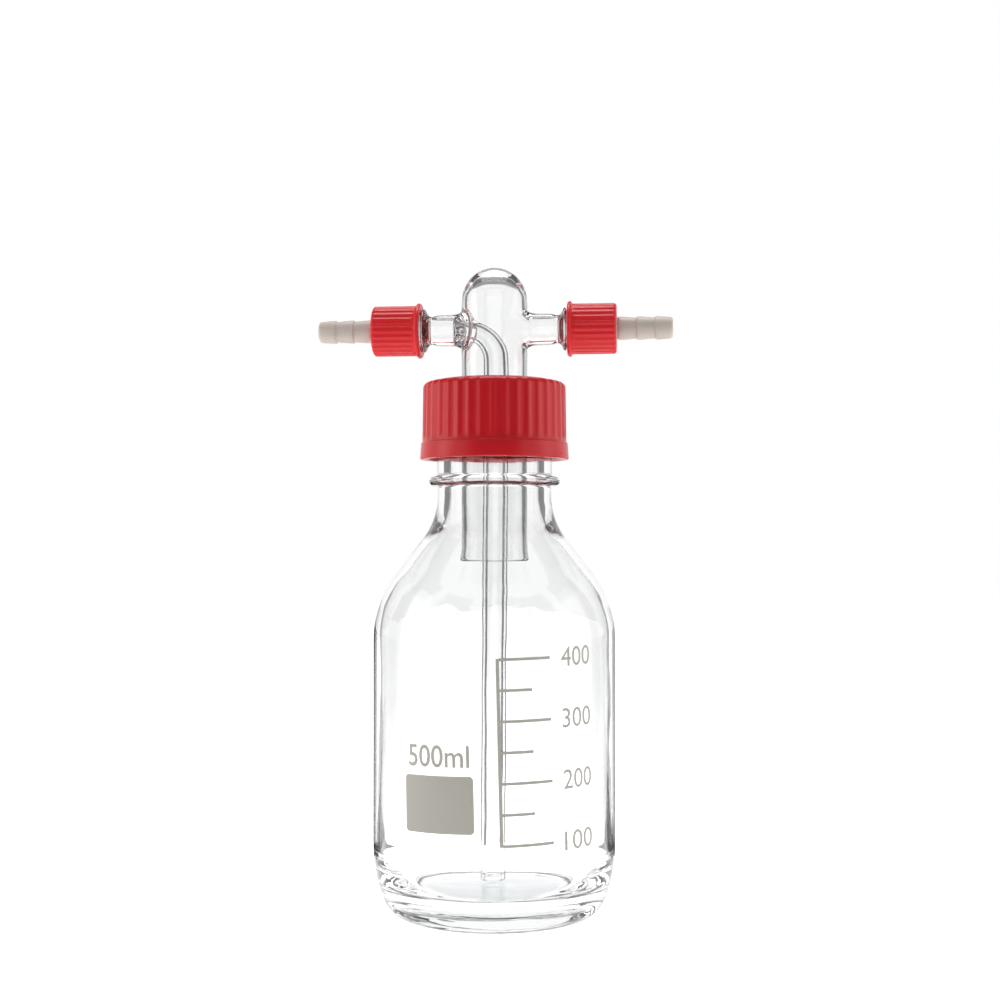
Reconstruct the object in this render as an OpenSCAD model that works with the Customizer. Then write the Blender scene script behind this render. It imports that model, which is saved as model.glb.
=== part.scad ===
// Gas washing bottle: a 500 ml screw-neck bottle, a one-piece blown head with its bubbling
// tube, and a screwed hose connection on each side arm.
// Millimetres. Z is up, the bottle stands on Z = 0 and the side arms run along X.

/* [Bottle] */
// Outside diameter of the body
bottle_d = 86; // [84:0.5:88]
// Height of the glass rim above the table
rim_z = 179.5; // [178:0.5:181]
// Wall thickness of body and shoulder
bottle_wall = 2.4; // [2:0.1:3.2]
// Inside diameter of the neck
neck_bore_d = 32; // [30:0.5:33]
// Height at which the body turns into the shoulder
shoulder_z = 96; // [90:0.5:98]
// Slope of the shoulder's cone, measured from the upright
shoulder_tilt = 38; // [36:0.5:40]

/* [Blown head] */
// Outside diameter of the head's upright tube
head_d = 23.5; // [23:0.1:24]
// Wall thickness of the upright tube
head_wall = 1.6; // [1.3:0.1:1.9]
// Height of the dome's top
dome_top_z = 228.7; // [226:0.1:231]
// Height of the skirt's open end inside the bottle
skirt_z = 123; // [118:0.5:128]
// Outside diameter of the bubbling tube
dip_d = 9; // [8.6:0.1:9.4]
// Bore of the bubbling tube
dip_bore_d = 5.6; // [5:0.1:5.8]
// Height of the bubbling tube's open end
dip_end_z = 6.9; // [6.5:0.1:12]
// Centreline radius of the bend at the top of the bubbling tube
dip_bend_r = 10.5; // [10.2:0.1:10.8]

/* [Side arms] */
// Height of the arms' common axis
arm_z = 206.3; // [205.5:0.1:207]
// Outside diameter of an arm
arm_d = 11.2; // [10.8:0.1:11.6]
// Bore of an arm
arm_bore_d = 8.2; // [7.6:0.1:8.6]
// Distance from the head's axis to an arm's open end
arm_reach = 38.5; // [38:0.1:39]

/* [Large screw cap] */
// Outside diameter of the large cap's ribbed body
big_cap_d = 51.6; // [51:0.1:52]
// Overall height of the large cap
big_cap_h = 27.6; // [26:0.1:28]
// Diameter of the hole in the large cap's top
big_cap_hole_d = 34; // [33:0.5:36]
// Number of grip flutes round the large cap
big_cap_flutes = 38; // [30:1:42]

/* [Small screw caps] */
// Outside diameter of a small cap's ribbed body
small_cap_d = 18.1; // [17.8:0.1:18.6]
// Overall length of a small cap
small_cap_l = 17.5; // [17:0.1:18]
// Number of grip flutes round a small cap
small_cap_flutes = 26; // [20:1:28]

/* [Hose connectors] */
// Diameter over the crest of a barb
barb_d = 8.3; // [8:0.1:8.5]
// Length of one barb
barb_pitch = 6.5; // [6.2:0.1:6.8]
// Bore of a connector
connector_bore_d = 5; // [4.4:0.1:5.2]

/* [Hidden] */
$fn = 96;

LEFT = -1;
RIGHT = 1;
GLASS = [0.78, 0.88, 0.9, 0.35];
RED = [0.72, 0.02, 0.03];
CLOUDY = [0.86, 0.85, 0.83];
SILICONE = [0.93, 0.91, 0.87];
// Angle steps in a quarter turn of a drawn arc
STEPS = 8;
// How far a cutting solid runs past the face it cuts
PAST = 1;

// Bottle
body_r = bottle_d / 2;
foot_in_r = 32;         // inner edge of the flat foot ring
foot_out_r = 34.5;      // outer edge of the flat foot ring
heel_h = 25;            // height of the rounded heel
push_r = 23;            // flat middle of the raised underside
push_h = 1.8;
floor_z = 5.2;          // inside face of the floor
floor_r = 24;           // where the floor turns up into the wall
inner_heel_h = 19;
shoulder_r = 38;        // outside radius of the shoulder's curve
neck_low_r = 20.3;      // plain neck below the bead
neck_sweep_r = 26;      // outside curve from shoulder to neck
neck_bore_sweep_r = 22;
bead_z = 151.9;         // bead below the thread
bead_r = 23.4;
bead_half = 1.7;
groove_r = 19.4;        // groove under the bead
groove_z = bead_z - bead_half;
groove_h = 0.4;
groove_slope_h = 0.8;
neck_bore_r = neck_bore_d / 2;
thread_core_r = 20.6;
bead_top_h = 0.3;       // slope from the bead up to the thread
rim_round = 1.6;
rim_bore_round = 1;

// Stack that the large cap clamps on the rim
neck_seal_t = 1.5;
flange_t = 3;
liner_t = 1;
liner_bore_r = 14;
flange_z = rim_z + neck_seal_t;
liner_z = flange_z + flange_t;
big_plate_z = liner_z + liner_t;
flange_r = 21;
flange_round = 1.2;

// Blown head
head_r = head_d / 2;
head_bore_r = head_r - head_wall;
dome_z = dome_top_z - head_r;
crown_rise = head_bore_r - 1.8;   // the crown is thicker than the tube
skirt_flare = 0.55;
skirt_flare_h = 3.5;
skirt_round = 0.8;
tube_fillet = 2;              // between the flange and the tube

// Side arms: necked in behind a threaded end that starts with a collar
arm_r = arm_d / 2;
arm_start_x = head_bore_r / 2;  // where an arm's solids start, inside the upright tube
blend_r = 3.2;                // blend between arm and upright tube
blend_stop = 6;               // degrees of the blend left out where it meets the tube
arm_neck_x = 22.6;
arm_neck_r = 5;
arm_neck_l = 0.9;             // length of the arm at its narrowest, then how it widens again
arm_neck_widen = 0.4;
arm_taper_l = 2.1;            // length over which the arm narrows
arm_taper_end = 0.15;
arm_end_round = 0.6;
collar_x = 25.3;
collar_r = 7.5;
collar_half = 0.6;
arm_core_r = 6.1;
funnel_x = 14.2;              // where the left bore starts to close on the bubbling tube
funnel_end_x = 11.4;

// Large cap
big_cap_r = big_cap_d / 2;
big_plate_t = 2.3;
big_cap_top = big_plate_z + big_plate_t;
big_cap_z = big_cap_top - big_cap_h;
big_bore_r = 22.75;
big_skirt_h = 6;              // plain skirt below the flutes
big_skirt_r = big_cap_r + 0.8;
big_step = 0.35;              // how far the skirt stands out where the flutes begin
big_step_slope = [0.15, 0.3];
big_step_foot = 0.2;
big_draft = 0.25;
big_round = 1;
big_edge_round = 0.4;
big_mouth = [0.9, 1.4];       // bevel at the mouth: across and along
big_flute_r = 2.2;
big_flute_depth = 0.45;
big_flute_start = 0.5;        // above the skirt

// Small cap, along an arm's axis
small_cap_r = small_cap_d / 2;
small_cap_x = 26.3;
small_cap_end = small_cap_x + small_cap_l;
small_plate_t = 1.8;
small_bore_r = 7.15;
small_lip_r = small_cap_r + 0.9;
small_lip_t = 1.6;
small_round = 1.2;
small_mouth = [0.6, 0.8];     // bevel at the mouth: across and along
small_flute_r = 0.8;
small_flute_depth = 0.3;
small_flute_start = 0.3;      // past the lip
seal_t = 2;
seal_r = 6.6;
seal_bore_r = 3.2;

// Hose connector
fit_gap = 0.08;               // running clearance between connector and cap
journal_r = 4.4;
connector_flange_r = 6;
plate_inner_x = small_cap_end - small_plate_t;
connector_x = arm_reach + seal_t;
journal_end = small_cap_end + 0.1;
barb_x = small_cap_end + 0.4;
barb_count = 3;
barb_root_drop = 0.4;         // how much a barb thins towards its tip
barb_rise_l = 0.3;            // length of a barb's rise, then of its crest
barb_crest_l = 1.2;
tip_round = 0.8;

// Points along an arc, or along part of an ellipse with two radii
function arc(centre, r, from, to, steps = STEPS) = oval(centre, r, r, from, to, steps);
function oval(centre, rx, ry, from, to, steps = STEPS) =
    [for (i = [0:steps])
        let (a = from + (to - from) * i / steps)
        centre + [rx * cos(a), ry * sin(a)]];

// Height of the centre of the curve that leads a shoulder's cone into an upright neck
function sweep_z(cone_r, neck_r, sweep_r) =
    shoulder_z + cone_r * sin(shoulder_tilt)
    + (body_r - shoulder_r + cone_r * cos(shoulder_tilt) - neck_r) / tan(shoulder_tilt)
    + sweep_r * tan(shoulder_tilt / 2);

module along_arm(side) {
    translate([0, 0, arm_z]) rotate([0, side * 90, 0]) children();
}

// Round flutes that a cap's body is gripped by, cut to a depth
module flutes(count, r, flute_r, depth, h) {
    for (i = [0:count - 1])
        rotate(i * 360 / count)
            translate([r + flute_r - depth, 0, 0]) cylinder(r = flute_r, h = h, $fn = 32);
}

// Blown and pressed bottle: raised underside, round heel, long shoulder, beaded neck
function bottle_outside() = concat(
    [[0, push_h]],
    oval([push_r, 0], foot_in_r - push_r, push_h, 90, 0),
    oval([foot_out_r, heel_h], body_r - foot_out_r, heel_h, 270, 360, 2 * STEPS),
    arc([body_r - shoulder_r, shoulder_z], shoulder_r, 0, shoulder_tilt),
    arc([neck_low_r + neck_sweep_r, sweep_z(shoulder_r, neck_low_r, neck_sweep_r)],
        neck_sweep_r, 180 + shoulder_tilt, 180),
    [[neck_low_r, groove_z - groove_h - groove_slope_h], [groove_r, groove_z - groove_h],
     [groove_r, groove_z]],
    arc([bead_r - bead_half, bead_z], bead_half, -90, 90),
    [[thread_core_r, bead_z + bead_half + bead_top_h]],
    arc([thread_core_r - rim_round, rim_z - rim_round], rim_round, 0, 90));

function bottle_inside() = concat(
    [[0, floor_z]],
    oval([floor_r, floor_z + inner_heel_h], body_r - bottle_wall - floor_r, inner_heel_h,
         270, 360, 2 * STEPS),
    arc([body_r - shoulder_r, shoulder_z], shoulder_r - bottle_wall, 0, shoulder_tilt),
    arc([neck_bore_r + neck_bore_sweep_r,
         sweep_z(shoulder_r - bottle_wall, neck_bore_r, neck_bore_sweep_r)],
        neck_bore_sweep_r, 180 + shoulder_tilt, 180),
    arc([neck_bore_r + rim_bore_round, rim_z - rim_bore_round], rim_bore_round, 180, 90, 4));

function reversed(points) = [for (i = [len(points) - 1:-1:0]) points[i]];

module bottle() {
    color(GLASS)
        rotate_extrude() polygon(concat(bottle_outside(), reversed(bottle_inside())));
}

// Blown head. One piece of glass: domed tube, clamping flange, skirt, two side arms, and
// the bubbling tube that bends over and is ring-sealed into the left arm.
module head_body() {
    rotate_extrude()
        polygon(concat(
            [[0, skirt_z]],
            arc([head_r + skirt_flare - skirt_round, skirt_z + skirt_round], skirt_round,
                270, 360, 4),
            [[head_r, skirt_z + skirt_flare_h]],
            arc([head_r + tube_fillet, flange_z - tube_fillet], tube_fillet, 180, 90, 4),
            arc([flange_r - flange_round, flange_z + flange_round], flange_round, 270, 360, 4),
            arc([flange_r - flange_round, liner_z - flange_round], flange_round, 0, 90, 4),
            arc([head_r + tube_fillet, liner_z + tube_fillet], tube_fillet, 270, 180, 4),
            arc([0, dome_z], head_r, 0, 90, 2 * STEPS)));
}

module head_hollow() {
    rotate_extrude()
        polygon(concat(
            [[0, skirt_z - PAST], [head_bore_r + skirt_flare, skirt_z - PAST],
             [head_bore_r + skirt_flare, skirt_z], [head_bore_r, skirt_z + skirt_flare_h]],
            oval([0, dome_z], head_bore_r, crown_rise, 0, 90, 2 * STEPS)));
}

// Concave blend of an arm into the upright tube: one curve as seen from the front, cut to
// the tighter curve that the round tube gives it as seen from above
module arm_blend(side) {
    root_r = arm_r + blend_r;
    blend_x = head_r + blend_r;
    plan_x = sqrt(pow(head_r + blend_r, 2) - pow(root_r, 2));
    touch = atan2(root_r, plan_x);
    plan = concat([[blend_x, arm_r]],
                  arc([plan_x, root_r], blend_r, 270, 180 + touch),
                  [[arm_start_x, head_r * sin(touch)]]);
    intersection() {
        along_arm(side)
            rotate_extrude()
                polygon(concat(
                    [[0, arm_start_x], [root_r, arm_start_x]],
                    arc([root_r, blend_x], blend_r, 270 - blend_stop, 180),
                    [[0, blend_x]]));
        translate([0, 0, arm_z - head_r])
            linear_extrude(2 * head_r)
                rotate(90 - side * 90)
                    polygon(concat(plan, [for (p = reversed(plan)) [p[0], -p[1]]]));
    }
}

module arm_tube(side) {
    along_arm(side)
        rotate_extrude()
            polygon(concat(
                [[0, arm_start_x], [arm_r, arm_start_x],
                 [arm_r, arm_neck_x - arm_neck_l - arm_taper_l],
                 [arm_neck_r + arm_taper_end, arm_neck_x - arm_neck_l],
                 [arm_neck_r, arm_neck_x],
                 [arm_neck_r + arm_neck_widen, arm_neck_x + collar_half]],
                arc([collar_r - collar_half, collar_x], collar_half, -45, 90, 4),
                [[arm_core_r, collar_x + collar_half]],
                arc([arm_core_r - arm_end_round, arm_reach - arm_end_round], arm_end_round,
                    0, 90, 4),
                [[0, arm_reach]]));
}

// Upright tube and bend, as a solid of radius r that starts at height from_z
module dip_path(r, from_z) {
    translate([0, 0, from_z]) cylinder(r = r, h = arm_z - dip_bend_r - from_z);
    translate([-dip_bend_r, 0, arm_z - dip_bend_r])
        rotate([90, 0, 0]) rotate_extrude(angle = 90) translate([dip_bend_r, 0]) circle(r = r);
}

module gas_head() {
    color(GLASS)
        difference() {
            union() {
                difference() {
                    union() {
                        head_body();
                        for (side = [LEFT, RIGHT]) {
                            arm_blend(side);
                            arm_tube(side);
                        }
                    }
                    head_hollow();
                }
                dip_path(dip_d / 2, dip_end_z);
            }
            dip_path(dip_bore_d / 2, dip_end_z - PAST);
            along_arm(LEFT)
                rotate_extrude()
                    polygon([[0, dip_bend_r], [dip_bore_d / 2, dip_bend_r],
                             [dip_bore_d / 2, funnel_end_x], [arm_bore_d / 2, funnel_x],
                             [arm_bore_d / 2, arm_reach + PAST], [0, arm_reach + PAST]]);
            along_arm(RIGHT)
                translate([0, 0, arm_start_x])
                    cylinder(d = arm_bore_d, h = arm_reach + PAST - arm_start_x);
        }
}

// Flat ring between the rim and the head's flange
module neck_seal() {
    color(SILICONE)
        translate([0, 0, rim_z])
            difference() {
                cylinder(r = thread_core_r, h = neck_seal_t);
                translate([0, 0, -PAST]) cylinder(r = neck_bore_r, h = neck_seal_t + 2 * PAST);
            }
}

// Slip ring that lets the large cap turn on the flange
module cap_liner_ring() {
    color(SILICONE)
        translate([0, 0, liner_z])
            difference() {
                cylinder(r = big_bore_r - fit_gap, h = liner_t);
                translate([0, 0, -PAST]) cylinder(r = liner_bore_r, h = liner_t + 2 * PAST);
            }
}

// Large cap: open top, fluted body, plain flared skirt
module screw_cap() {
    step_z = big_cap_z + big_skirt_h;
    color(RED)
        difference() {
            rotate_extrude()
                polygon(concat(
                    [[big_bore_r + big_mouth[0], big_cap_z]],
                    arc([big_skirt_r - big_edge_round, big_cap_z + big_edge_round],
                        big_edge_round, 270, 360, 3),
                    [[big_cap_r + big_step, step_z - big_step_slope[1]],
                     [big_cap_r + big_step - big_step_slope[0], step_z],
                     [big_cap_r, step_z + big_step_foot]],
                    arc([big_cap_r - big_draft - big_round, big_cap_top - big_round],
                        big_round, 0, 90),
                    arc([big_cap_hole_d / 2 + big_edge_round, big_cap_top - big_edge_round],
                        big_edge_round, 90, 180, 3),
                    [[big_cap_hole_d / 2, big_plate_z], [big_bore_r, big_plate_z],
                     [big_bore_r, big_cap_z + big_mouth[1]]]));
            translate([0, 0, step_z + big_flute_start])
                flutes(big_cap_flutes, big_cap_r - big_draft / 2, big_flute_r, big_flute_depth,
                       big_cap_h);
        }
}

// Small cap: open end plate, fluted body, round lip at the mouth
module small_screw_cap(side) {
    color(RED)
        along_arm(side)
            difference() {
                rotate_extrude()
                    polygon(concat(
                        [[small_bore_r + small_mouth[0], small_cap_x]],
                        arc([small_lip_r - small_lip_t / 2, small_cap_x + small_lip_t / 2],
                            small_lip_t / 2, 270, 420, 6),
                        [[small_cap_r, small_cap_x + small_lip_t]],
                        arc([small_cap_r - small_round, small_cap_end - small_round],
                            small_round, 0, 90),
                        [[journal_r + fit_gap, small_cap_end],
                         [journal_r + fit_gap, plate_inner_x],
                         [small_bore_r, plate_inner_x],
                         [small_bore_r, small_cap_x + small_mouth[1]]]));
                translate([0, 0, small_cap_x + small_lip_t + small_flute_start])
                    flutes(small_cap_flutes, small_cap_r, small_flute_r, small_flute_depth,
                           small_cap_l);
            }
}

// Hose connector: flange and journal held by the small cap, then the barbs
module hose_connector(side) {
    crest_r = barb_d / 2;
    root_r = crest_r - barb_root_drop;
    tip_x = barb_x + barb_count * barb_pitch;
    bore_r = connector_bore_d / 2;
    color(CLOUDY)
        along_arm(side)
            rotate_extrude()
                polygon(concat(
                    [[bore_r, connector_x], [connector_flange_r, connector_x],
                     [connector_flange_r, plate_inner_x], [journal_r, plate_inner_x],
                     [journal_r, journal_end]],
                    [for (i = [0:barb_count - 1],
                          p = [[root_r, 0], [crest_r, barb_rise_l],
                               [crest_r, barb_rise_l + barb_crest_l]])
                        [p[0], barb_x + i * barb_pitch + p[1]]],
                    arc([root_r - tip_round, tip_x - tip_round], tip_round, 0, 90, 4),
                    [[bore_r, tip_x]]));
}

// Seal between an arm's end and its connector
module arm_seal(side) {
    color(SILICONE)
        along_arm(side)
            translate([0, 0, arm_reach])
                difference() {
                    cylinder(r = seal_r, h = seal_t);
                    translate([0, 0, -PAST]) cylinder(r = seal_bore_r, h = seal_t + 2 * PAST);
                }
}

bottle();
gas_head();
neck_seal();
screw_cap();
cap_liner_ring();
small_screw_cap(LEFT);  // left_screw_cap
hose_connector(LEFT);  // left_hose_connector
arm_seal(LEFT);  // left_seal
small_screw_cap(RIGHT);  // right_screw_cap
hose_connector(RIGHT);  // right_hose_connector
arm_seal(RIGHT);  // right_seal
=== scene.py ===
"""Gas washing bottle: the finished pieces, their materials and a plain studio."""
import math

import bmesh
import bpy
from bpy.props import FloatProperty, FloatVectorProperty, IntProperty, PointerProperty
from mathutils import Matrix, Vector, noise


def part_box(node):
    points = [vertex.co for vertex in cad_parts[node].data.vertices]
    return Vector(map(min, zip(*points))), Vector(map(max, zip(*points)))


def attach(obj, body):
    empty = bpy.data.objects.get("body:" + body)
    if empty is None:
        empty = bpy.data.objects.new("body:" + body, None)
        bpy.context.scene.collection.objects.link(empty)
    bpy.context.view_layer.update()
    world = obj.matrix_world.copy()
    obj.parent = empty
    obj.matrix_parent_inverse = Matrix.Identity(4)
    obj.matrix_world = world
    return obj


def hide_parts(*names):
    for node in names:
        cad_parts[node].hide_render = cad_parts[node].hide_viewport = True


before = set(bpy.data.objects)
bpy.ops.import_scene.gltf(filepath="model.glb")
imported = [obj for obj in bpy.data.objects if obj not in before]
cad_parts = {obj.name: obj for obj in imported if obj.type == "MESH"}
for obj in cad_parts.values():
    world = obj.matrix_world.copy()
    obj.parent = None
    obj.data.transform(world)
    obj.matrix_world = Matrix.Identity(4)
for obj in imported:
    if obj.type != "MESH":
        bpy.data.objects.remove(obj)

bl_info = {
    "name": "Gas washing bottle",
    "version": (1, 0, 0),
    "blender": (4, 5, 0),
    "location": "3D View > Sidebar > Washing Bottle",
    "description": "Builds a gas washing bottle with its blown head, screw caps and hose connectors",
    "category": "Object",
}

MM = 0.001
TURN = 2 * math.pi
LEFT = -1
RIGHT = 1
SIDE_NAMES = {LEFT: "left", RIGHT: "right"}
X_AXIS = Vector((1, 0, 0))
Y_AXIS = Vector((0, 1, 0))
Z_AXIS = Vector((0, 0, 1))

# The frame gives the sizes that the pieces share with the solids, in millimetres from here on
_, BOTTLE_HIGH = (Vector(corner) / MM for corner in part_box("bottle"))
HEAD_LOW, HEAD_HIGH = (Vector(corner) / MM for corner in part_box("gas_head"))
CAP_LOW, CAP_HIGH = (Vector(corner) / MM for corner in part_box("screw_cap"))
RING_LOW, _ = (Vector(corner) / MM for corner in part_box("cap_liner_ring"))
SMALL_LOW, SMALL_HIGH = (Vector(corner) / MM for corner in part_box("right_screw_cap"))
HOSE_LOW, HOSE_HIGH = (Vector(corner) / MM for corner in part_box("right_hose_connector"))
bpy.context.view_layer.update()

BODY_R = BOTTLE_HIGH.x
RIM_Z = BOTTLE_HIGH.z
ARM_Z = (SMALL_LOW.z + SMALL_HIGH.z) / 2
ARM_REACH = HEAD_HIGH.x
LINER_Z = RING_LOW.z

# Threads: where each starts, its turns, how far it climbs in one, and half its ridge's width
NECK_PITCH = 4.0
ARM_PITCH = 2.5
NECK_THREAD = (162.5, 3.0, NECK_PITCH, 1.15)
CAP_THREAD = (162.5 - NECK_PITCH / 2, 3.2, NECK_PITCH, 0.85)
ARM_THREAD = (28.2, 3.2, ARM_PITCH, 0.7)
SMALL_THREAD = (28.2 - ARM_PITCH / 2, 3.6, ARM_PITCH, 0.5)

# Attribute that says how much painted shade darkens a place on the glass towards its outline: 0 on the
# inner skin, 1 on the outer one, and less on the bottle's outer skin from this height up
OUTLINE_SHADE_MASK = "outside"
FAINT_OUTLINE_SHADE_Z = 108.0
FAINT_OUTLINE_SHADE = 0.25


# -------- outlines and meshes

def oval(centre, radii, start, stop, steps=8):
    """Points along part of an ellipse in an outline's plane, with angles in degrees."""
    turns = [math.radians(start + (stop - start) * i / steps) for i in range(steps + 1)]
    return [(centre[0] + radii[0] * math.cos(a), centre[1] + radii[1] * math.sin(a)) for a in turns]


def arc(centre, radius, start, stop, steps=8):
    """Points along an arc in an outline's plane, with angles in degrees."""
    return oval(centre, (radius, radius), start, stop, steps)


def spaced(outline, longest):
    """The outline with extra points, so that no step is longer than asked."""
    points = [outline[0]]
    for start, stop in zip(outline, outline[1:]):
        count = max(1, math.ceil(math.dist(start, stop) / longest))
        points += [
            (start[0] + (stop[0] - start[0]) * i / count, start[1] + (stop[1] - start[1]) * i / count)
            for i in range(1, count + 1)
        ]
    return points


def turned(outline, steps, closed=True, outer=0):
    """A solid turned round the Z axis from (radius, height) points, of which the first are outside."""
    bm = bmesh.new()
    mark = bm.verts.layers.float.new(OUTLINE_SHADE_MASK)
    verts = [bm.verts.new((radius, 0, height)) for radius, height in outline]
    # the outer points carry the mask of the painted outline shade, fainter high on the bottle
    for vert in verts[:outer]:
        vert[mark] = 1.0 if vert.co.z < FAINT_OUTLINE_SHADE_Z else FAINT_OUTLINE_SHADE
    ends = zip(verts, verts[1:] + verts[:1]) if closed else zip(verts, verts[1:])
    edges = [bm.edges.new(pair) for pair in ends]
    bmesh.ops.spin(
        bm, geom=verts + edges, cent=(0, 0, 0), axis=(0, 0, 1), angle=TURN, steps=steps, use_merge=True
    )
    bmesh.ops.remove_doubles(bm, verts=bm.verts, dist=1e-4)
    return bm


def polar(vert):
    """A vertex's distance from the Z axis and its angle round it."""
    return math.hypot(vert.co.x, vert.co.y), math.atan2(vert.co.y, vert.co.x)


def set_polar(vert, radius, angle):
    """Moves a vertex to a distance and an angle round the Z axis, at its own height."""
    vert.co.x = radius * math.cos(angle)
    vert.co.y = radius * math.sin(angle)


def eased(value):
    """0 below 0, 1 above 1 and a smooth step between."""
    value = min(1.0, max(0.0, value))
    return value * value * (3 - 2 * value)


def thread_rise(angle, height, start, turns, pitch, half_width):
    """How much of a thread's ridge stands at a place: 1 on its crest, 0 off it, faded at both ends."""
    place = (height - start) / pitch - angle / TURN
    ridge = round(place)
    off = abs(place - ridge) * pitch / half_width
    run = ridge + angle / TURN
    fade = eased(run / 0.2) * eased((turns - run) / 0.2)
    return fade * eased(1.5 - off * 1.2) if off < 1.25 else 0.0


def lay_along_arm(bm, side):
    """Turns a piece made round the Z axis on to a side arm's axis."""
    turn = Matrix.Translation((0, 0, ARM_Z)) @ Matrix.Rotation(side * math.pi / 2, 4, "Y")
    bmesh.ops.transform(bm, matrix=turn, verts=bm.verts)


def object_of(bm, name, material):
    """Makes the mesh an object of the scene, with its material."""
    mesh = bpy.data.meshes.new(name)
    bm.to_mesh(mesh)
    bm.free()
    mesh.materials.append(material)
    made = bpy.data.objects.new(name, mesh)
    bpy.context.scene.collection.objects.link(made)
    return made


def add_piece(bm, name, material, body, replaced=(), crease=None):
    """Makes the piece's object in metres, and has it ride on its body in place of its solids."""
    bmesh.ops.scale(bm, vec=(MM, MM, MM), verts=bm.verts)
    bmesh.ops.recalc_face_normals(bm, faces=bm.faces)
    piece = object_of(bm, name, material)
    piece.data.shade_smooth()
    if crease:
        piece.data.set_sharp_from_angle(angle=math.radians(crease))
    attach(piece, body)
    if replaced:
        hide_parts(*replaced)


# -------- shader maths

class Wire:
    """A shader value. + and * on it add Math nodes, and node() adds any other node."""

    def __init__(self, tree, socket=None):
        self.tree = tree
        self.socket = socket

    def node(self, kind, settings=(), inputs=(), output=0):
        """Adds a node of a type, sets its settings, fills its sockets and gives one output."""
        made = self.tree.nodes.new("ShaderNode" + kind)
        for name, value in dict(settings).items():
            setattr(made, name, value)
        for name, value in dict(inputs).items():
            if isinstance(value, Wire):
                self.tree.links.new(value.socket, made.inputs[name])
            else:
                made.inputs[name].default_value = value
        return Wire(self.tree, made.outputs[output])

    def maths(self, operation, first, second):
        return self.node("Math", {"operation": operation}, {0: first, 1: second})

    def __add__(self, other):
        return self.maths("ADD", self, other)

    __radd__ = __add__

    def __mul__(self, other):
        return self.maths("MULTIPLY", self, other)

    __rmul__ = __mul__


def new_material(name):
    """An empty node material, a Wire to add its nodes with, and its output node."""
    material = bpy.data.materials.new(name)
    material.use_nodes = True
    tree = material.node_tree
    tree.nodes.clear()
    return material, Wire(tree), tree.nodes.new("ShaderNodeOutputMaterial")


def finished(material, shader, output):
    """Joins the shader to the output and gives the material."""
    material.node_tree.links.new(shader.socket, output.inputs["Surface"])
    return material


def noise_on(wire, size, detail=3.0, stretch=(1, 1, 1), rough=0.5):
    """Noise of a size in metres, in the object's own space."""
    place = wire.node("TexCoord", output="Object")
    place = wire.node("Mapping", inputs={"Vector": place, "Scale": tuple(s / size for s in stretch)})
    return wire.node(
        "TexNoise", inputs={"Vector": place, "Scale": 1.0, "Detail": detail, "Roughness": rough}
    )


def tinted(wire, factor, first, second):
    """A colour between two colours."""
    inputs = {"Factor": factor, 6: (*first, 1.0), 7: (*second, 1.0)}
    return wire.node("Mix", {"data_type": "RGBA"}, inputs, output=2)


def bumped(wire, height, strength, distance):
    """The normal over a relief of that height, given as a share of the distance in metres."""
    return wire.node("Bump", inputs={"Height": height, "Strength": strength, "Distance": distance})


def glass_material(name, shade_from, shade_to, wave):
    """Clear glass: faint ripples, a painted shade that darkens the outer skin towards its outline, and
    open to lamps.
    """
    material, wire, output = new_material(name)
    colours = bpy.context.scene.bottle_finishes
    ripple = noise_on(wire, 0.012, 2.0, (1, 1, 0.45)) + 0.25 * noise_on(wire, 0.0035, 1.0, (1, 1, 0.3))
    # painted shade: as the outer skin turns away from the eye, its colour darkens towards the outline
    # tint and draws dark lines round the glass
    facing = wire.node("LayerWeight", output="Facing")
    rim = wire.node("MapRange", inputs={"Value": facing, "From Min": shade_from, "From Max": shade_to})
    skin = wire.node("Attribute", {"attribute_name": OUTLINE_SHADE_MASK}, output="Fac")
    body = wire.node(
        "BsdfPrincipled",
        inputs={
            "Base Color": tinted(wire, rim * skin, colours.glass, colours.glass_outline_shade),
            "Roughness": 0.0,
            "IOR": 1.474,
            "Transmission Weight": 1.0,
            "Normal": bumped(wire, ripple, wave, 0.0004),
        },
    )
    lamp = wire.node("LightPath", output="Is Shadow Ray")
    clear = wire.node("BsdfTransparent", inputs={"Color": (0.96, 0.97, 0.97, 1.0)})
    return finished(material, wire.node("MixShader", inputs={"Fac": lamp, 1: body, 2: clear}), output)


def shaded(tone, share):
    """A colour made darker or lighter by a share."""
    return tuple(share * part for part in tone)


def opaque(name, shades, ior, gloss, noises, relief, glow=()):
    """A finish of two shades and two roughnesses with a fine relief, and light inside if asked.

    noises: what noise_on takes for the shades, for the roughness and for the relief.
    """
    material, wire, output = new_material(name)
    drift, patches, grain = (noise_on(wire, *kind) for kind in noises)
    smooth, rough = gloss
    inputs = {
        "Base Color": tinted(wire, drift, *shades),
        "Roughness": wire.node(
            "MapRange", inputs={"Value": patches, "To Min": smooth, "To Max": rough}
        ),
        "IOR": ior,
        "Normal": bumped(wire, grain, *relief),
    }
    inputs.update(zip(("Subsurface Weight", "Subsurface Radius", "Subsurface Scale"), glow))
    return finished(material, wire.node("BsdfPrincipled", inputs=inputs), output)


def red_plastic(name, red):
    """Moulded red plastic with a soft gloss and the faintest orange peel."""
    noises = ((0.02, 2.0), (0.004, 3.0), (0.0009, 2.0))
    glow = (0.12, (0.6, 0.1, 0.08), 0.002)
    return opaque(name, (red, shaded(red, 0.82)), 1.36, (0.24, 0.36), noises, (0.05, 0.0002), glow)


def cloudy_plastic():
    """Milky hose-connector plastic that lets a little light through."""
    pale = bpy.context.scene.bottle_finishes.connector_white
    shades = (pale, shaded(pale, 0.94))
    noises = ((0.006, 3.0), (0.002, 3.0), (0.0006, 2.0))
    glow = (0.55, (1.0, 0.9, 0.75), 0.003)
    return opaque("cloudy_white_plastic", shades, 1.49, (0.36, 0.5), noises, (0.06, 0.0002), glow)


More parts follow.
